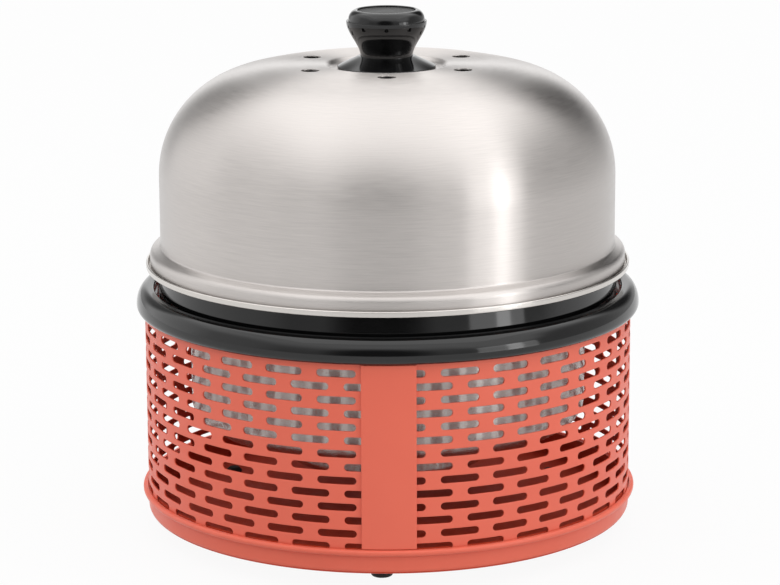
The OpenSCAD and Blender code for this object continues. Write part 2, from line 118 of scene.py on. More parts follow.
def new_finish(name):
    """A new material, its tree, its shader, and the Object coordinates to pattern it with."""
    material = bpy.data.materials.new(name + FINISH_MARK)
    material.use_nodes = True
    tree = material.node_tree
    shader = tree.nodes["Principled BSDF"]
    return material, tree, shader, add(tree, "TexCoord").outputs["Object"]


def ramp(tree, factor, dark, light):
    """Turn a grey pattern into a blend between two colours."""
    node = add(tree, "ValToRGB", {"Fac": factor})
    node.color_ramp.elements[0].color = (*dark, 1)
    node.color_ramp.elements[1].color = (*light, 1)
    return node.outputs["Color"]


def between(tree, factor, low, high):
    """Stretch a grey pattern to run between two values."""
    return add(tree, "MapRange", {"Value": factor, "From Min": 0.3, "From Max": 0.7,
                                  "To Min": low, "To Max": high}).outputs["Result"]


def relief(tree, shader, height, strength, depth_mm):
    """Let a grey pattern bend the light as fine relief."""
    bump = add(tree, "Bump", {"Height": height, "Strength": strength, "Distance": depth_mm * MM})
    tree.links.new(bump.outputs["Normal"], shader.inputs["Normal"])


print("node helpers ready")

# %% [markdown]
# ## Floor and light
# The grill stands on white in an even, soft light. The floor is a plain white disc. To the camera, and
# in the metal, most of its white is its own, so that it stays white far from the lamps, and the rest is
# ordinary shading, which keeps the shadow under the pan. The light is a bright ceiling that fades towards
# the horizon, and a lamp on the right with a brighter core, which the lid mirrors as an upright band.
# Steel and black plastic only look round when they have something to mirror, so a few soft patches make
# the room paler or darker here and there.

# %% Floor
FLOOR_R, FLOOR_SIDES, FLOOR_DROP = 7.0, 128, 0.2
FLOOR_OWN_WHITE, FLOOR_PAPER = 0.93, 0.60

floor_finish, tree, shader, place = new_finish("studio_white")
tree.nodes.remove(shader)
rays = add(tree, "LightPath").outputs
seen = add(tree, "Math", {0: rays["Is Camera Ray"], 1: rays["Is Glossy Ray"]}, operation="MAXIMUM")
seen = add(tree, "Math", {0: seen.outputs[0], 1: rays["Is Transmission Ray"]}, operation="MAXIMUM")
share = add(tree, "Math", {0: seen.outputs[0], 1: FLOOR_OWN_WHITE}, operation="MULTIPLY")
paper = add(tree, "BsdfDiffuse", {"Color": (FLOOR_PAPER, FLOOR_PAPER, FLOOR_PAPER, 1)})
glow = add(tree, "Emission", {"Color": (1, 1, 1, 1), "Strength": 1.0})
both = add(tree, "MixShader", {"Fac": share.outputs[0], 1: paper.outputs[0], 2: glow.outputs[0]})
tree.links.new(both.outputs[0], tree.nodes["Material Output"].inputs["Surface"])

bm = bmesh.new()
bmesh.ops.create_circle(bm, cap_ends=True, segments=FLOOR_SIDES, radius=FLOOR_R)
floor_mesh = bpy.data.meshes.new("studio_floor")
bm.to_mesh(floor_mesh)
bm.free()
floor_mesh.materials.append(floor_finish)
studio_floor = bpy.data.objects.new("studio_floor", floor_mesh)
studio_floor.location.z = -FLOOR_DROP * MM
scene.collection.objects.link(studio_floor)
studio_floor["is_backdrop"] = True
print("floor radius:", FLOOR_R, "m")

# %% Room
# Brightness at some angles above the horizon
ROOM_LEVELS = ((0, 0.55), (8, 0.58), (20, 0.75), (32, 1.28), (44, 1.60), (56, 1.45), (90, 1.30))
# Turn and rise of a patch's middle, its inner and outer reach in degrees, and its brightness
ROOM_PATCHES = ((-4, 8, 10, 30, 0.06), (-80, 10, 12, 34, 0.90), (-118, 10, 14, 32, 1.20),
                (100, 14, 12, 36, 0.50), (54, 34, 8, 26, 1.55), (180, 4, 8, 20, 1.20),
                (-152, 24, 6, 20, 0.25), (150, 24, 8, 22, 0.05))


def towards(turn, rise):
    """The direction at an angle round from the front, to the right, and an angle above the horizon."""
    turn, rise = math.radians(turn), math.radians(rise)
    return Vector((math.sin(turn) * math.cos(rise), -math.cos(turn) * math.cos(rise), math.sin(rise)))


room = bpy.data.worlds.new("soft_room")
room.use_nodes = True
scene.world = room
tree = room.node_tree
heading = add(tree, "TexCoord").outputs["Generated"]
rise = add(tree, "SeparateXYZ", {0: heading}).outputs["Z"]
levels = add(tree, "ValToRGB", {"Fac": rise})
for angle, level in ROOM_LEVELS[1:-1]:
    levels.color_ramp.elements.new(math.sin(math.radians(angle)))
for element, (angle, level) in zip(levels.color_ramp.elements, ROOM_LEVELS):
    element.position = math.sin(math.radians(angle))
    element.color = (level, level, level, 1)
glow = levels.outputs["Color"]
for turn, angle, inner, outer, level in ROOM_PATCHES:
    nearness = add(tree, "VectorMath", {0: heading, 1: towards(turn, angle)}, operation="DOT_PRODUCT")
    share = add(tree, "MapRange", {"Value": nearness.outputs["Value"],
                                   "From Min": math.cos(math.radians(outer)),
                                   "From Max": math.cos(math.radians(inner))},
                interpolation_type="SMOOTHSTEP")
    glow = add(tree, "Mix", {"Factor": share.outputs["Result"], "A": glow, "B": level}).outputs["Result"]
tree.links.new(glow, tree.nodes["Background"].inputs["Strength"])
tree.nodes["Background"].inputs["Color"].default_value = (1, 1, 1, 1)
print("room: one gradient and", len(ROOM_PATCHES), "patches")


# %% Lamps
LAMP_HEIGHT = Vector((0, 0, 0.32))


def softbox(name, size, place, aim, radiance):
    """A rectangular lamp that shines evenly from a place towards a point."""
    data = bpy.data.lights.new(name, "AREA")
    data.shape = "RECTANGLE"
    data.size, data.size_y = size
    data.energy = radiance * math.pi * size[0] * size[1]
    lamp = bpy.data.objects.new(name, data)
    lamp.location = place
    lamp.rotation_euler = (Vector(aim) - Vector(place)).to_track_quat("-Z", "Y").to_euler()
    scene.collection.objects.link(lamp)
    print(name, "at", tuple(round(p, 2) for p in place), round(data.energy, 1), "W")


softbox("ceiling_box", (2.8, 2.6), (0.10, 0.10, 2.10), (0.10, 0.10, 0.0), 0.55)
softbox("right_strip", (0.90, 0.62), 1.75 * towards(53, 0) + LAMP_HEIGHT, LAMP_HEIGHT, 1.7)
softbox("strip_core", (0.22, 0.62), 1.70 * towards(56, 0) + LAMP_HEIGHT, LAMP_HEIGHT, 3.0)

# %% [markdown]
# ## Coral enamel
# The drum, the pan and the cover strip are steel sheet with a stove enamel in satin coral red. Sprayed
# enamel isn't flat: it dries with a fine orange peel and a faint drift of tone. Two noise patterns make
# that. A third one drifts the roughness, so that highlights break up softly. Whatever lies within the
# sheet and above the pan's floor is painted a deeper red, a painted shade for the shadow inside the
# drum, and it is given a higher roughness.

# %% Coral enamel
CORAL_DARK, CORAL_LIGHT = (0.700, 0.126, 0.077), (0.788, 0.151, 0.092)
CORAL_ROUGH = (0.34, 0.46)
# The tint for the inside is painted shade, standing in for the shadow within the drum; the second value
# raises the inside's roughness.
PAINTED_SHADE_INSIDE, INSIDE_DULL = (0.80, 0.38, 0.20), 0.30

coral_enamel, tree, shader, place = new_finish("coral_enamel")
drift = add(tree, "TexNoise", {"Vector": place, "Scale": 16.0, "Detail": 3.0}).outputs[0]
peel = add(tree, "TexNoise", {"Vector": place, "Scale": 620.0, "Detail": 2.0}).outputs[0]
cloud = add(tree, "TexNoise", {"Vector": place, "Scale": 70.0, "Detail": 3.0}).outputs[0]
split = add(tree, "SeparateXYZ", {0: place}).outputs
flat = add(tree, "CombineXYZ", {"X": split["X"], "Y": split["Y"]}).outputs[0]
radius = add(tree, "VectorMath", {0: flat}, operation="LENGTH").outputs["Value"]
mid_sheet, mid_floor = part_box("side_wall")[1].x - 0.5 * MM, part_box("bottom_pan")[0].z + 0.5 * MM
within = add(tree, "Math", {0: radius, 1: mid_sheet}, operation="LESS_THAN")
above = add(tree, "Math", {0: split["Z"], 1: mid_floor}, operation="GREATER_THAN")
inside = add(tree, "Math", {0: within.outputs[0], 1: above.outputs[0]}, operation="MULTIPLY").outputs[0]
coat = ramp(tree, drift, CORAL_DARK, CORAL_LIGHT)
# Painted shade: a deeper red within the sheet and above the pan's floor.
painted_shade = ramp(tree, inside, (1, 1, 1), PAINTED_SHADE_INSIDE)
colour = add(tree, "VectorMath", {0: coat, 1: painted_shade}, operation="MULTIPLY")
shine = between(tree, cloud, *CORAL_ROUGH)
dull = add(tree, "Math", {0: inside, 1: INSIDE_DULL, 2: shine}, operation="MULTIPLY_ADD")
tree.links.new(colour.outputs["Vector"], shader.inputs["Base Color"])
tree.links.new(dull.outputs[0], shader.inputs["Roughness"])
shader.inputs["Specular IOR Level"].default_value = 0.35
relief(tree, shader, peel, 0.16, 0.12)
print("finish:", coral_enamel.name)

# %% [markdown]
# ## Brushed steel
# The lid is spun on a lathe and brushed while it turns, so its scratches run round it. Such steel
# stretches a highlight across the scratches, which is why a lamp becomes an upright band on the lid.
# The pattern is a noise on four coordinates, the direction round the axis, the height and the radius,
# so it has no seam anywhere. The stretch itself is the shader's anisotropy along a radial tangent.

# %% Brushed steel
ACROSS_THE_GRAIN = 0.25
ROUND_THE_AXIS = (9.0, 9.0, 0.0)


def brushed_steel(name, dark, light, rough, anisotropy, lines_per_m, depth):
    """Stainless sheet with scratches that run round the grill's axis."""
    material, tree, shader, place = new_finish(name)
    split = add(tree, "SeparateXYZ", {0: place}).outputs
    flat = add(tree, "CombineXYZ", {"X": split["X"], "Y": split["Y"]}).outputs[0]
    radius = add(tree, "VectorMath", {0: flat}, operation="LENGTH").outputs["Value"]
    around = add(tree, "VectorMath", {0: flat}, operation="NORMALIZE").outputs["Vector"]
    rise = add(tree, "Math", {0: split["Z"], 1: lines_per_m}, operation="MULTIPLY").outputs[0]
    reach = add(tree, "Math", {0: radius, 1: lines_per_m}, operation="MULTIPLY").outputs[0]
    upright = add(tree, "CombineXYZ", {"Z": rise}).outputs[0]
    drawn = add(tree, "VectorMath", {0: around, 1: ROUND_THE_AXIS, 2: upright},
                operation="MULTIPLY_ADD").outputs["Vector"]
    grain = add(tree, "TexNoise", {"Vector": drawn, "W": reach, "Scale": 1.0, "Detail": 5.0},
                noise_dimensions="4D").outputs[0]
    tree.links.new(ramp(tree, grain, dark, light), shader.inputs["Base Color"])
    tree.links.new(between(tree, grain, *rough), shader.inputs["Roughness"])
    tree.links.new(add(tree, "Tangent", direction_type="RADIAL", axis="Z").outputs[0],
                   shader.inputs["Tangent"])
    shader.inputs["Metallic"].default_value = 1.0
    shader.inputs["Anisotropic"].default_value = anisotropy
    shader.inputs["Anisotropic Rotation"].default_value = ACROSS_THE_GRAIN
    relief(tree, shader, grain, depth, 0.05)
    print("finish:", name)
    return material


lid_steel = brushed_steel("lid_steel", (0.475, 0.447, 0.430), (0.655, 0.618, 0.594),
                          (0.30, 0.40), 0.93, 1500.0, 0.08)
bowl_steel = brushed_steel("bowl_steel", (0.60, 0.57, 0.54), (0.67, 0.64, 0.61),
                           (0.20, 0.24), 0.93, 700.0, 0.006)

# %% [markdown]
# ## Black mouldings and rubber
# The ring and the knob are moulded in gloss black, a heat-proof plastic that mirrors the lamps
# in soft-edged patches. The mould leaves it very slightly wavy. The disc in the knob's top is satin, and
# the feet are matt rubber with a fine grain. One helper makes them all: only the shine and the grain differ.

# %% Black mouldings and rubber
def moulded(name, dark, light, rough, grain_scale, grain):
    """A moulded material with a fine grain and a drift in its shine."""
    material, tree, shader, place = new_finish(name)
    wave = add(tree, "TexNoise", {"Vector": place, "Scale": 90.0, "Detail": 2.0}).outputs[0]
    fine = add(tree, "TexNoise", {"Vector": place, "Scale": grain_scale, "Detail": 3.0}).outputs[0]
    tree.links.new(ramp(tree, wave, dark, light), shader.inputs["Base Color"])
    tree.links.new(between(tree, wave, *rough), shader.inputs["Roughness"])
    relief(tree, shader, fine, grain, 0.08)
    print("finish:", name)
    return material


GLOSS_DARK, GLOSS_LIGHT = (0.0030, 0.0030, 0.0032), (0.0045, 0.0045, 0.0047)
SATIN_DARK, SATIN_LIGHT = (0.0040, 0.0040, 0.0042), (0.0060, 0.0060, 0.0062)

ring_black = moulded("ring_black", GLOSS_DARK, GLOSS_LIGHT, (0.07, 0.11), 400.0, 0.03)
knob_black = moulded("knob_black", GLOSS_DARK, GLOSS_LIGHT, (0.06, 0.10), 500.0, 0.02)
disc_black = moulded("disc_black", SATIN_DARK, SATIN_LIGHT, (0.46, 0.54), 900.0, 0.10)
foot_rubber = moulded("foot_rubber", (0.006, 0.006, 0.006), (0.010, 0.010, 0.010),
                      (0.65, 0.80), 1500.0, 0.35)

# %% [markdown]
# ## Wire, coating and zinc
# Under the lid are a basket of drawn steel wire, a cast plate with a dark non-stick coating, and a few
# zinc-plated fasteners. Heat has tinted the wire a little, the coating has a fine speckle, and zinc has a
# pale, cloudy bloom.

# %% Wire, coating and zinc
def speckled(name, dark, light, rough, scale, grain, metallic):
    """A finish that a fine noise speckles, for coated, drawn or plated metal."""
    material, tree, shader, place = new_finish(name)
    speck = add(tree, "TexNoise", {"Vector": place, "Scale": scale, "Detail": 4.0}).outputs[0]
    tree.links.new(ramp(tree, speck, dark, light), shader.inputs["Base Color"])
    tree.links.new(between(tree, speck, *rough), shader.inputs["Roughness"])
    shader.inputs["Metallic"].default_value = metallic
    relief(tree, shader, speck, grain, 0.06)
    print("finish:", name)
    return material


basket_wire = speckled("basket_wire", (0.36, 0.34, 0.32), (0.52, 0.51, 0.49),
                       (0.26, 0.40), 260.0, 0.08, 1.0)
plate_coating = speckled("plate_coating", (0.020, 0.020, 0.021), (0.050, 0.050, 0.052),
                         (0.42, 0.58), 900.0, 0.25, 0.0)
zinc_steel = speckled("zinc_steel", (0.48, 0.49, 0.50), (0.66, 0.67, 0.67),
                      (0.28, 0.44), 180.0, 0.05, 1.0)

for node, finish in {"basket_top_ring": basket_wire, "basket_middle_ring": basket_wire,
                     "basket_base_ring": basket_wire, "basket_uprights": basket_wire,
                     "basket_floor": basket_wire, "grill_plate": plate_coating,
                     "strip_rivets": zinc_steel, "ring_screws": zinc_steel,
                     "knob_screw": zinc_steel, "knob_washer": zinc_steel}.items():
    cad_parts[node].data.materials.clear()
    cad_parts[node].data.materials.append(finish)

# %% [markdown]
# ## Round pieces
# Most of the grill is round: spun, pressed in a round tool, or moulded. Each such piece is an outline of
# a few corners, with its corners rounded, that bmesh spins once round the axis. The doubles on the axis
# and at the seam are merged first, and then the normals are set to point outwards.

# %% Lathe helpers
LATHE_STEPS = 192
MERGE = 1e-7


def arc(x, z, radius, start, stop, steps):
    """Points along an arc round (x, z), between two angles in degrees."""
    turns = [math.radians(start + (stop - start) * i / steps) for i in range(steps + 1)]
    return [(x + radius * math.cos(t), z + radius * math.sin(t)) for t in turns]


def filleted(corners, steps=6):
    """Round an outline: a corner is (radius, height), or (radius, height, fillet)."""
    outline = []
    for i, (x, z, *fillet) in enumerate(corners):
        here = Vector((x, z))
        if not fillet:
            outline.append((x, z))
            continue
        back = (Vector(corners[i - 1][:2]) - here).normalized()
        ahead = (Vector(corners[(i + 1) % len(corners)][:2]) - here).normalized()
        half = back.angle(ahead) / 2
        reach = fillet[0] / math.tan(half)
        centre = here + (back + ahead).normalized() * fillet[0] / math.sin(half)
        spoke = here + back * reach - centre
        sweep = (here + ahead * reach - centre).angle_signed(spoke)
        for k in range(steps + 1):
            turned = Matrix.Rotation(sweep * k / steps, 2) @ spoke
            outline.append(tuple(centre + turned))
    return outline


def lathe(outline, steps=LATHE_STEPS):
    """Spin an outline of (radius, height) in millimetres once round Z, as a closed solid."""
    bm = bmesh.new()
    points = [bm.verts.new((r * MM, 0, z * MM)) for r, z in outline]
    pairs = list(zip(points, points[1:]))
    if outline[0][0] > 0:
        pairs.append((points[-1], points[0]))
    edges = [bm.edges.new(pair) for pair in pairs]
    bmesh.ops.spin(bm, geom=points + edges, axis=(0, 0, 1), cent=(0, 0, 0),
                   angle=math.tau, steps=steps, use_merge=True)
    bmesh.ops.remove_doubles(bm, verts=bm.verts, dist=MERGE)
    bmesh.ops.recalc_face_normals(bm, faces=bm.faces)
    return bm


def piece(name, bm, finish, body, *nodes, sharp=32, slot=None):
    """Make a bmesh a piece of the grill: smooth it, finish it, and let it ride for its CAD nodes."""
    mesh = bpy.data.meshes.new(name)
    bm.to_mesh(mesh)
    bm.free()
    mesh.shade_smooth()
    mesh.set_sharp_from_angle(angle=math.radians(sharp))
    mesh.materials.append(finish)
    obj = bpy.data.objects.new(name, mesh)
    scene.collection.objects.link(obj)
    even = obj.modifiers.new("even_shading", "WEIGHTED_NORMAL")
    even.keep_sharp = True
    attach(obj, body)
    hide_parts(*nodes)
    print(name, "has", len(mesh.polygons), "faces")
    return obj


def put_in(bm, extra):
    """Add the geometry of one bmesh to another."""
    mesh = bpy.data.meshes.new("extra")
    extra.to_mesh(mesh)
    extra.free()
    bm.from_mesh(mesh)
    bpy.data.meshes.remove(mesh)


def cut_out(bm, tools):
    """Cut the closed shapes of one bmesh out of another."""
    pair = []
    for name, part in (("work", bm), ("tools", tools)):
        mesh = bpy.data.meshes.new(name)
        part.to_mesh(mesh)
        part.free()
        pair.append(bpy.data.objects.new(name, mesh))
        scene.collection.objects.link(pair[-1])
    work, tool = pair
    cut = work.modifiers.new("cut", "BOOLEAN")
    cut.operation, cut.solver, cut.object = "DIFFERENCE", "EXACT", tool
    bpy.context.view_layer.update()
    done = bmesh.new()
    done.from_object(work, bpy.context.evaluated_depsgraph_get())
    for obj in pair:
        bpy.data.meshes.remove(obj.data)
    return done


print("lathe helpers ready")

# %% [markdown]
# ## Bottom pan
# The pan is pressed from one sheet. Its edge turns out into a rolled lip, and the side wall stands in a
# groove of it. The outline goes up the outside, round the lip, through the groove and back along the
# inside of the pan's floor.

# %% Bottom pan
PAN_T, PAN_CORNER, LIP_H, LIP_NECK, FIT = 1.0, 3.6, 3.7, 0.5, 0.3
WALL_T = 1.0

wall_low, wall_high = (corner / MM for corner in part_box("side_wall"))
pan_low, pan_high = (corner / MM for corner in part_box("bottom_pan"))
wall_r, wall_z, wall_top = wall_high.x, wall_low.z, wall_high.z
wall_in = wall_r - WALL_T
pan_z, lip_top, lip_r = pan_low.z, pan_high.z, pan_high.x
lip_low, lip_round = lip_top - LIP_H, LIP_H / 2 - 0.05
seat_in = wall_in - FIT

bottom_pan = lathe(filleted([
    (0, pan_z), (wall_r, pan_z, PAN_CORNER), (wall_r, lip_low, LIP_NECK),
    (lip_r, lip_low, lip_round), (lip_r, lip_top, lip_round), (wall_r + FIT, lip_top, FIT),
    (wall_r + FIT, wall_z), (seat_in, wall_z), (seat_in, lip_top), (seat_in - 2 * PAN_T, lip_top),
    (seat_in - 2 * PAN_T, lip_low - PAN_T), (wall_r - PAN_T, lip_low - 2 * PAN_T),
    (wall_r - PAN_T, pan_z + PAN_T, PAN_CORNER - PAN_T), (0, pan_z + PAN_T)], steps=8))
piece("pan", bottom_pan, coral_enamel, "base", "bottom_pan")

# %% [markdown]
# ## Side wall
# The wall is one flat sheet, punched with staggered rows of round-ended slots and rolled into a drum.
# It is made here in the same order. One cell of the pattern is a small grid that becomes a single face,
# and an inset face inside it is moved on to the outline of a slot and deleted. Copies of the cell fill the
# sheet, which is rolled, closed at its seam, thickened, and softened along the punched edges. The cells
# stand on a regular grid of strips round the drum, so every row meets the next one vertex to vertex.

# %% One cell of the side wall
SLOT_L, SLOT_W, ROW_PITCH = 23.4, 4.5, 8.0
SLOT_COLS, CELL_STRIPS, SEAM_STRIPS = 29, 8, 2
FIRST_ROW_Z, SLOT_ROWS = 131.1, 14
SLOT_START = 3.8

strips = SLOT_COLS * CELL_STRIPS + SEAM_STRIPS
strip_w = math.tau * wall_r / strips
cell_w = CELL_STRIPS * strip_w


def sheet_patch(bm, strips_wide, faces_high):
    """A flat patch of sheet, a row high and some strips wide, with its middle at the origin."""
    made = bmesh.ops.create_grid(bm, x_segments=strips_wide, y_segments=faces_high, size=0.5)
    bmesh.ops.scale(bm, verts=made["verts"], vec=(strips_wide * strip_w, ROW_PITCH, 1))
    return made["verts"]


def slot_point(x, y):
    """Where a vertex of the cell's edge has its partner on the slot's edge."""
    straight = (SLOT_L - SLOT_W) / 2
    if abs(x) < 2.5 * strip_w:
        return x, math.copysign(SLOT_W / 2, y)
    turn = math.radians(60 * y / (ROW_PITCH / 2))
    if abs(x) < 3.5 * strip_w:
        turn = math.copysign(math.pi / 2, y)
    return (math.copysign(straight + SLOT_W / 2 * math.cos(turn), x), SLOT_W / 2 * math.sin(turn))


wall = bmesh.new()
sheet_patch(wall, CELL_STRIPS, 4)
hole = bmesh.ops.dissolve_faces(wall, faces=wall.faces[:])["region"][0]
bmesh.ops.inset_region(wall, faces=[hole], thickness=1.0, use_boundary=True, use_even_offset=True)
brink = hole.verts[:]
for vert in brink:
    partners = [edge.other_vert(vert) for edge in vert.link_edges]
    outer = next(partner for partner in partners if partner not in brink)
    vert.co.x, vert.co.y = slot_point(outer.co.x, outer.co.y)
bmesh.ops.delete(wall, geom=[hole], context="FACES_ONLY")
print("cell:", len(wall.faces), "faces,", round(cell_w, 2), "mm wide")

# %% The rolled side wall
EDGE_ROUND = 0.28


def rolled(bm, radius, turn=0.0):
    """Roll a flat sheet round the axis: x runs round it, y is the height, z stands outwards."""
    for vert in bm.verts:
        angle = vert.co.x / radius + math.radians(turn)
        out = radius + vert.co.z
        vert.co = Vector((out * math.sin(angle), -out * math.cos(angle), vert.co.y)) * MM


row = wall.copy()
cell_geom = row.verts[:] + row.edges[:] + row.faces[:]
for col in range(1, SLOT_COLS):
    copy = bmesh.ops.duplicate(row, geom=cell_geom)["geom"]
    bmesh.ops.translate(row, verts=[g for g in copy if isinstance(g, bmesh.types.BMVert)],
                        vec=(col * cell_w, 0, 0))
seam = sheet_patch(row, SEAM_STRIPS, 4)
bmesh.ops.translate(row, verts=seam, vec=((SLOT_COLS - 0.5) * cell_w + SEAM_STRIPS / 2 * strip_w, 0, 0))
wall.free()

side_wall = bmesh.new()
for k in range(SLOT_ROWS):
    this_row = row.copy()
    bmesh.ops.translate(this_row, verts=this_row.verts,
                        vec=(k % 2 * cell_w / 2, FIRST_ROW_Z - k * ROW_PITCH, 0))
    put_in(side_wall, this_row)
row.free()
rolled(side_wall, wall_r, SLOT_START)
bmesh.ops.remove_doubles(side_wall, verts=side_wall.verts, dist=20 * MM * MM)

rim_z = (FIRST_ROW_Z + ROW_PITCH / 2) * MM
rim = [edge for edge in side_wall.edges
       if edge.is_boundary and all(abs(v.co.z - rim_z) < 10 * MERGE for v in edge.verts)]
band = bmesh.ops.extrude_edge_only(side_wall, edges=rim)["geom"]
bmesh.ops.translate(side_wall, verts=[g for g in band if isinstance(g, bmesh.types.BMVert)],
                    vec=(0, 0, wall_top * MM - rim_z))
bmesh.ops.recalc_face_normals(side_wall, faces=side_wall.faces)
bmesh.ops.solidify(side_wall, geom=side_wall.faces[:], thickness=WALL_T * MM)
bmesh.ops.recalc_face_normals(side_wall, faces=side_wall.faces)


def on_outside(edge):
    """Whether an edge lies on the wall's outer face, at the brink of a slot."""
    outside = all(Vector(v.co.xy).length > (wall_r - 0.1) * MM for v in edge.verts)
    return outside and edge.is_manifold and edge.calc_face_angle() > math.radians(60)


brinks = [edge for edge in side_wall.edges if on_outside(edge)]
bmesh.ops.bevel(side_wall, geom=brinks, affect="EDGES", offset=EDGE_ROUND * MM, segments=2,
                profile=0.5, material=-1)
piece("drum_wall", side_wall, coral_enamel, "base", "side_wall", sharp=50)

# %% [markdown]
# ## Cover strip
# A plain strip hides the seam at the front. It is a flat bar with softened edges, rolled to the drum.
# The grid is split across its width, so that it bends in small steps.

# %% Cover strip
STRIP_T, STRIP_TURN, STRIP_EDGE = 1.4, 0.1, 0.5

strip_low, strip_high = (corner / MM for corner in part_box("cover_strip"))
strip_out = -strip_low.y
strip_reach = strip_out * 2 * math.asin((strip_high.x - strip_low.x) / 2 / strip_out)

cover_strip = bmesh.new()
bmesh.ops.create_grid(cover_strip, x_segments=14, y_segments=1, size=0.5)
bmesh.ops.scale(cover_strip, verts=cover_strip.verts, vec=(strip_reach, strip_high.z - strip_low.z, 1))
bmesh.ops.translate(cover_strip, verts=cover_strip.verts, vec=(0, (strip_low.z + strip_high.z) / 2, 0))
bmesh.ops.solidify(cover_strip, geom=cover_strip.faces[:], thickness=STRIP_T)
bmesh.ops.recalc_face_normals(cover_strip, faces=cover_strip.faces)
top_face_z = max(v.co.z for v in cover_strip.verts)
bmesh.ops.translate(cover_strip, verts=cover_strip.verts, vec=(0, 0, -top_face_z))
corners = [e for e in cover_strip.edges if e.calc_face_angle(0) > math.radians(60) and
           max(v.co.z for v in e.verts) > -MERGE]
bmesh.ops.bevel(cover_strip, geom=corners, affect="EDGES", offset=STRIP_EDGE, segments=3,
                profile=0.5, material=-1)
rolled(cover_strip, strip_out, STRIP_TURN)
piece("seam_strip", cover_strip, coral_enamel, "base", "cover_strip")

# %% [markdown]
# ## Top ring
# The ring is one black moulding: a fat bead over the edge of the wall, an upright collar that the bowl
# hangs in, and six webs across the air gap between them. The bead is widest low down, its top is a
# quarter of an oval, and its inner lip overhangs the gap. Bead and collar are spun, and a web is a small
# section spun through a few degrees only.

# %% Top ring
RING_LEG, AIR_GAP, RING_EDGE, RING_CROWN = 2.2, 6.1, 1.0, 3.0
COLLAR_T, COLLAR_FOOT, COLLAR_DRAFT, COLLAR_EDGE = 3.2, 0.8, 0.8, 0.5
SEAT_IN, SEAT_DROP = 1.2, 2.5
WEBS, WEB_TURN, WEB_ROOT, WEB_STEPS = 6, 9.0, 0.5, 6
BEAD_LOW_BEND, RING_LIP, LIP_BEND, BEAD_STEPS = 4.0, 2.4, 1.56, 20

ring_low, ring_high = (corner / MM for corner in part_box("top_ring"))
ring_z, flange_z, ring_out = ring_low.z, ring_high.z, ring_high.x
ring_top = wall_top + RING_CROWN
leg_in = wall_in - FIT - RING_LEG
collar_r = leg_in - AIR_GAP
collar_in = collar_r - COLLAR_T
web_z = ring_z + (wall_top - ring_z) / 3
foot_out = collar_r + COLLAR_FOOT

crest, crest_h = ring_out - leg_in - RING_EDGE, ring_top - ring_z - BEAD_LOW_BEND
bead_top = [(ring_out - crest * (1 - math.cos(t)), ring_top - crest_h * (1 - math.sin(t)))
            for t in (math.radians(90 * i / BEAD_STEPS) for i in range(1, BEAD_STEPS + 1))]
lip_in, lip_foot = leg_in - RING_LIP, ring_top - 2 * LIP_BEND
top_ring = lathe([(wall_r + FIT, ring_z)]
                 + arc(ring_out - BEAD_LOW_BEND, ring_z + BEAD_LOW_BEND, BEAD_LOW_BEND, -90, 0, 10) + bead_top
                 + arc(lip_in + LIP_BEND, ring_top - LIP_BEND, LIP_BEND, 90, 180, 8)
                 + [(lip_in, lip_foot), (leg_in, lip_foot - RING_LIP), (leg_in, ring_z),
                    (wall_in - FIT, ring_z), (wall_in - FIT, wall_top), (wall_r + FIT, wall_top)])
put_in(top_ring, lathe(filleted([
    (collar_in, web_z, COLLAR_EDGE), (foot_out, web_z, COLLAR_EDGE),
    (foot_out, ring_top + RING_EDGE, COLLAR_FOOT), (collar_r - COLLAR_DRAFT, flange_z, 0.4),
    (collar_in + SEAT_IN, flange_z, 0.3), (collar_in, flange_z - SEAT_DROP, 0.6)])))

for k in range(WEBS):
    web = bmesh.new()
    web_out = leg_in + WEB_ROOT
    section = [(collar_r, web_z), (web_out, web_z), (web_out, wall_top), (collar_r, wall_top)]
    face = web.faces.new([web.verts.new((r * MM, 0, z * MM)) for r, z in section])
    start = math.radians(-90 - WEB_TURN / 2 + k * 360 / WEBS)
    bmesh.ops.rotate(web, verts=web.verts, matrix=Matrix.Rotation(start, 3, "Z"))
    bmesh.ops.spin(web, geom=[face], axis=(0, 0, 1), cent=(0, 0, 0), angle=math.radians(WEB_TURN),
                   steps=WEB_STEPS)
    bmesh.ops.recalc_face_normals(web, faces=web.faces)
    put_in(top_ring, web)
piece("ring", top_ring, ring_black, "base", "top_ring")

# %% [markdown]
# ## Feet
# Three rubber feet are pushed through the pan, and a head keeps each one in. They are small lathe
# shapes, moved to where the CAD feet stand.

# %% Feet
FOOT_EDGE, FOOT_STEM_R, FOOT_HEAD_R, FOOT_HEAD_H = 1.4, 3.0, 5.0, 3.0

for node in ("foot_front", "foot_rear_right", "foot_rear_left"):
    low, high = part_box(node)
    foot_r = (high.x - low.x) / 2 / MM
    head_z = pan_z + PAN_T
    foot = lathe(filleted([
        (0, 0), (foot_r, 0, FOOT_EDGE), (foot_r, pan_z, 0.3), (FOOT_STEM_R, pan_z), (FOOT_STEM_R, head_z),
        (FOOT_HEAD_R, head_z), (FOOT_HEAD_R, head_z + FOOT_HEAD_H / 3, 0.4),
        (FOOT_STEM_R, head_z + FOOT_HEAD_H, 0.5), (0, head_z + FOOT_HEAD_H)]), steps=48)
    bmesh.ops.translate(foot, verts=foot.verts, vec=((low.x + high.x) / 2, (low.y + high.y) / 2, 0))
    piece("rubber_" + node, foot, foot_rubber, "base", node)

# %% [markdown]
# ## Inner bowl
# The bowl is one pressed stainless sheet. From its hemmed rim it runs in along the flange, down the
# neck and the wall, round into a flat moat, over a weir, and down into the fire well in the middle. The
# outline follows the outside of the sheet, and then comes back a sheet's thickness higher.

# %% Inner bowl
BOWL_T, RIM_T, RIM_H, RIM_FOOT = 0.8, 1.4, 3.7, 1.0
NECK_R, WALL_OUT_R, WELL_R, WEIR_R = 136.6, 122.0, 64.0, 73.8
FLANGE_BEND, NECK_BEND, NECK_TURN = 2.5, 5.0, 60.0
BOWL_BEND, MOAT_UP, MOAT_BEND, WELL_BEND, WEIR_H = 14.0, 24.0, 8.0, 5.0, 42.0
GUTTER_DROP, AIR_HOLES, AIR_HOLE_R = 5.0, 12, 3.5

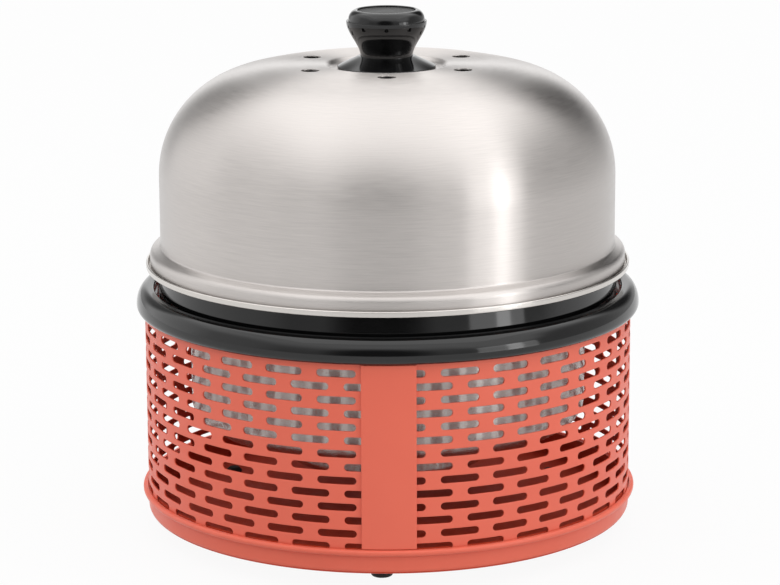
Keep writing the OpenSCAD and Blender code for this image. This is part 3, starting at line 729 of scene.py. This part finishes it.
bowl_low, bowl_high = (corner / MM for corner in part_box("inner_bowl"))
well_z, rim_r = bowl_low.z, bowl_high.x
slant = math.radians(NECK_TURN)
neck_run = (NECK_R - WALL_OUT_R - 2 * NECK_BEND * (1 - math.cos(slant))) / math.sin(slant)
neck_drop = 2 * NECK_BEND * math.sin(slant) + neck_run * math.cos(slant)
neck_z = flange_z - GUTTER_DROP - 2 * NECK_BEND
moat_x, moat_z = WEIR_R + MOAT_BEND, well_z + MOAT_UP
crest = (WEIR_R - WELL_R) / 2


def bowl_path(inside):
    """The bowl from its flange to the middle, some way above the underside of the sheet."""
    return (arc(NECK_R + FLANGE_BEND, flange_z - FLANGE_BEND, FLANGE_BEND + inside, 90, 180, 8)
            + arc(NECK_R - NECK_BEND, neck_z, NECK_BEND - inside, 0, -NECK_TURN, 8)
            + arc(WALL_OUT_R + NECK_BEND, neck_z - neck_drop, NECK_BEND + inside, 180 - NECK_TURN, 180, 8)
            + arc(WALL_OUT_R - BOWL_BEND, moat_z + BOWL_BEND, BOWL_BEND - inside, 0, -90, 14)
            + arc(moat_x, moat_z + MOAT_BEND, MOAT_BEND - inside, -90, -180, 10)
            + arc(WEIR_R - crest, well_z + WEIR_H, crest + inside, 0, 180, 14)
            + arc(WELL_R - WELL_BEND, well_z + WELL_BEND, WELL_BEND - inside, 0, -90, 8)
            + [(0, well_z + inside)])


hem = RIM_T / 2
sheet_top = flange_z + BOWL_T
rim_outline = (arc(rim_r - RIM_T - RIM_FOOT, sheet_top + RIM_FOOT, RIM_FOOT, -90, 0, 6)
               + arc(rim_r - hem, flange_z + RIM_H - hem, hem, 180, 0, 10)
               + arc(rim_r - RIM_FOOT, flange_z + RIM_FOOT, RIM_FOOT, 0, -90, 6))
inner_bowl = lathe(bowl_path(BOWL_T)[::-1] + rim_outline + bowl_path(0))
holes = bmesh.new()
for k in range(AIR_HOLES):
    turn = Matrix.Rotation(math.tau * k / AIR_HOLES, 4, "Z")
    across = Matrix.Translation((0, -WELL_R * MM, (well_z + WEIR_H - 2 * AIR_HOLE_R) * MM))
    bmesh.ops.create_cone(holes, cap_ends=True, segments=24, radius1=AIR_HOLE_R * MM,
                          radius2=AIR_HOLE_R * MM, depth=6 * BOWL_T * MM,
                          matrix=turn @ across @ Matrix.Rotation(math.pi / 2, 4, "X"))
piece("bowl", cut_out(inner_bowl, holes), bowl_steel, "bowl", "inner_bowl")

# %% [markdown]
# ## Lid
# The lid is spun from stainless sheet: a short skirt that stands inside the bowl's rim, a sloping ledge,
# a straight wall, a broad shoulder, a shallow crown and a flat top with a dish for the knob. A ring of
# vent holes is drilled round the dish. The outline gives the two faces of the sheet, and the holes are
# cut afterwards.

# %% Lid
LID_T, LID_STEP, SKIRT_H = 0.8, 6.4, 7.1
LEDGE_BEND, CREASE_BEND, LEDGE_TURN = 4.0, 1.5, 65.0
LID_WALL_H, SHOULDER_R, CROWN_R, FLAT_DROP, FLAT_BEND = 42.4, 64.5, 405.0, 5.9, 90.0
VENTS, VENT_R, VENT_PLACE_R, SCREW_HOLE_R, VENT_EDGE = 6, 5.5, 53.0, 3.15, 0.2
DRILL_DEPTH = 6.0
DISH_GAP, DISH_BEND = 2.6, 4.0

lid_low, lid_high = (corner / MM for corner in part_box("lid_dome"))
seat_z, skirt_r = lid_low.z, lid_high.x
lid_r = skirt_r - LID_STEP
ledge_z = seat_z + SKIRT_H
slope = math.radians(LEDGE_TURN)
bends = LEDGE_BEND + CREASE_BEND
ledge_run = (LID_STEP - bends * (1 - math.cos(slope))) / math.sin(slope)
lid_wall_z = ledge_z + bends * math.sin(slope) + ledge_run * math.cos(slope)
shoulder_x, shoulder_z = lid_r - SHOULDER_R, lid_wall_z + LID_WALL_H
crown_z = shoulder_z - math.sqrt((CROWN_R - SHOULDER_R) ** 2 - shoulder_x ** 2)
shoulder_turn = math.degrees(math.atan2(shoulder_z - crown_z, shoulder_x))
flat_z = crown_z + CROWN_R - FLAT_DROP
flat_bend_z = flat_z - FLAT_BEND
flat_x = math.sqrt((CROWN_R - FLAT_BEND) ** 2 - (flat_bend_z - crown_z) ** 2)
crown_turn = math.degrees(math.atan2(flat_bend_z - crown_z, flat_x))
cone_low, cone_high = (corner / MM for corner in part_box("knob_skirt"))
dish_z, dish_r = cone_low.z, cone_high.x + DISH_GAP
dish_slope = math.acos(1 - (flat_z - dish_z) / (2 * DISH_BEND))
dish_turn = math.degrees(dish_slope)
brink_r = dish_r + 2 * DISH_BEND * math.sin(dish_slope)


def lid_path(inside):
    """The lid from its skirt's edge to the middle, some way inside the outer face."""
    return ([(skirt_r - inside, seat_z)]
            + arc(skirt_r - LEDGE_BEND, ledge_z, LEDGE_BEND - inside, 0, LEDGE_TURN, 10)
            + arc(lid_r + CREASE_BEND, lid_wall_z, CREASE_BEND + inside, 180 + LEDGE_TURN, 180, 8)
            + arc(shoulder_x, shoulder_z, SHOULDER_R - inside, 0, shoulder_turn, 32)
            + arc(0, crown_z, CROWN_R - inside, shoulder_turn, crown_turn, 12)
            + arc(flat_x, flat_bend_z, FLAT_BEND - inside, crown_turn, 90, 8)
            + arc(brink_r, flat_z - DISH_BEND, DISH_BEND - inside, 90, 90 + dish_turn, 8)
            + arc(dish_r, dish_z + DISH_BEND, DISH_BEND + inside, 270 + dish_turn, 270, 8)
            + [(0, dish_z - inside)])


lid_dome = lathe(lid_path(LID_T)[::-1] + lid_path(0))
drills = bmesh.new()
spots = [(0, 0, dish_z, SCREW_HOLE_R)]
for k in range(VENTS):
    turn = math.tau * k / VENTS
    spots.append((VENT_PLACE_R * math.sin(turn), -VENT_PLACE_R * math.cos(turn), flat_z, VENT_R))
for x, y, z, r in spots:
    bmesh.ops.create_cone(drills, cap_ends=True, segments=40, radius1=r * MM, radius2=r * MM,
                          depth=DRILL_DEPTH * MM, matrix=Matrix.Translation((x * MM, y * MM, z * MM)))
lid_dome = cut_out(lid_dome, drills)
rims = [e for e in lid_dome.edges if e.is_manifold and e.calc_face_angle() > math.radians(60)
        and all(abs(v.co.z - flat_z * MM) < 100 * MERGE for v in e.verts)]
bmesh.ops.bevel(lid_dome, geom=rims, affect="EDGES", offset=VENT_EDGE * MM, segments=2,
                profile=0.5, material=-1)
piece("lid", lid_dome, lid_steel, "lid", "lid_dome")

# %% [markdown]
# ## Knob
# The knob is four mouldings: a shallow cone that keeps the heat away, a waisted grip with a sharp ridge
# and a row of dimples below it, a domed top, and a plain disc let into that, which is duller than the rest.
# The dimples are small and steep, so they are cut out of the grip like drilled pits.

# %% Knob
KNOB_NECK_R, KNOB_STEPS, GRIP_ROWS, GRIP_STEPS, DOME_STEPS = 16.0, 128, 36, 160, 16
CONE_EDGE, BORE_R, RIDGE_EDGE, RIDGE_BEND = 1.46, 3.3, 0.6, 0.3
DIMPLES, DIMPLE_R, DIMPLE_TIP_R, DIMPLE_DEPTH, DIMPLE_UP = 10, 1.05, 0.2, 1.6, 0.87
SOCKET_GAP, DISC_GAP, DISC_RIM, DISC_DISH = 1.2, 0.15, 1.2, 0.3

grip_low, grip_high = (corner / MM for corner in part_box("knob_grip"))
cap_low, cap_high = (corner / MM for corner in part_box("knob_top"))
disc_low, disc_high = (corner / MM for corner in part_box("knob_disc"))
cone_r, grip_z, ridge_r, cap_z = cone_high.x, grip_low.z, grip_high.x, cap_high.z
ridge_z = grip_high.z - RIDGE_EDGE

piece("knob_cone", lathe(filleted([
    (BORE_R, cone_low.z), (cone_r, cone_low.z, 0.2), (cone_r, cone_low.z + CONE_EDGE, 0.5),
    (KNOB_NECK_R + CONE_EDGE, grip_z), (BORE_R, grip_z)]), KNOB_STEPS), knob_black, "lid", "knob_skirt")


def waist(t):
    """The grip's radius, from its neck at 0 to its ridge at 1."""
    return KNOB_NECK_R + (ridge_r - KNOB_NECK_R) * t * t * (3 - 2 * t)


grip_h = ridge_z - grip_z
grip_side = [(waist(i / GRIP_ROWS), grip_z + grip_h * i / GRIP_ROWS) for i in range(GRIP_ROWS)]
socket_r, socket_z = disc_high.x + SOCKET_GAP, cap_low.z
grip = lathe([(0, grip_z)] + grip_side
             + arc(ridge_r - RIDGE_BEND, ridge_z + RIDGE_BEND, RIDGE_BEND, -10, 90, 6)
             + [(socket_r, grip_high.z), (socket_r, socket_z), (0, socket_z)], GRIP_STEPS)
pits = bmesh.new()
for k in range(DIMPLES):
    turn = Matrix.Rotation(math.tau * k / DIMPLES, 4, "Z")
    spot = Matrix.Translation((0, -waist(DIMPLE_UP) * MM, (grip_z + grip_h * DIMPLE_UP) * MM))
    bmesh.ops.create_cone(pits, cap_ends=True, segments=20, radius1=DIMPLE_TIP_R * MM,
                          radius2=2 * DIMPLE_R * MM, depth=2 * DIMPLE_DEPTH * MM,
                          matrix=turn @ spot @ Matrix.Rotation(math.pi / 2, 4, "X"))
grip = cut_out(grip, pits)
piece("knob_handle", grip, knob_black, "lid", "knob_grip")

pocket_r, plug_r = disc_high.x + DISC_GAP, socket_r - DISC_GAP
brim_r, cap_foot_r = pocket_r + RIDGE_EDGE, ridge_r - SOCKET_GAP
dome = [(brim_r + (cap_foot_r - brim_r) * math.cos(t), grip_high.z + (cap_z - grip_high.z) * math.sin(t))
        for t in (math.radians(90 * i / DOME_STEPS) for i in range(DOME_STEPS + 1))]
piece("knob_cap", lathe([(0, cap_low.z), (plug_r, cap_low.z), (plug_r, grip_high.z)] + dome
                        + [(pocket_r, cap_z - DISC_DISH), (pocket_r, disc_low.z), (0, disc_low.z)],
                        KNOB_STEPS), knob_black, "lid", "knob_top")

dished_z = disc_high.z - DISC_DISH
piece("knob_plain_disc", lathe(filleted([
    (0, disc_low.z), (disc_high.x, disc_low.z), (disc_high.x, disc_high.z, DISC_GAP),
    (disc_high.x - DISC_RIM, dished_z, 1.0), (0, dished_z)]), KNOB_STEPS),
      disc_black, "lid", "knob_disc", slot="knob_black")

# %% [markdown]
# ## Size
# The size of the dressed grill is printed; it should keep the size of the CAD model.

# %% Size
low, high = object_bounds()
print("visual box:", [round(v / MM, 1) for v in (*low, *high)])
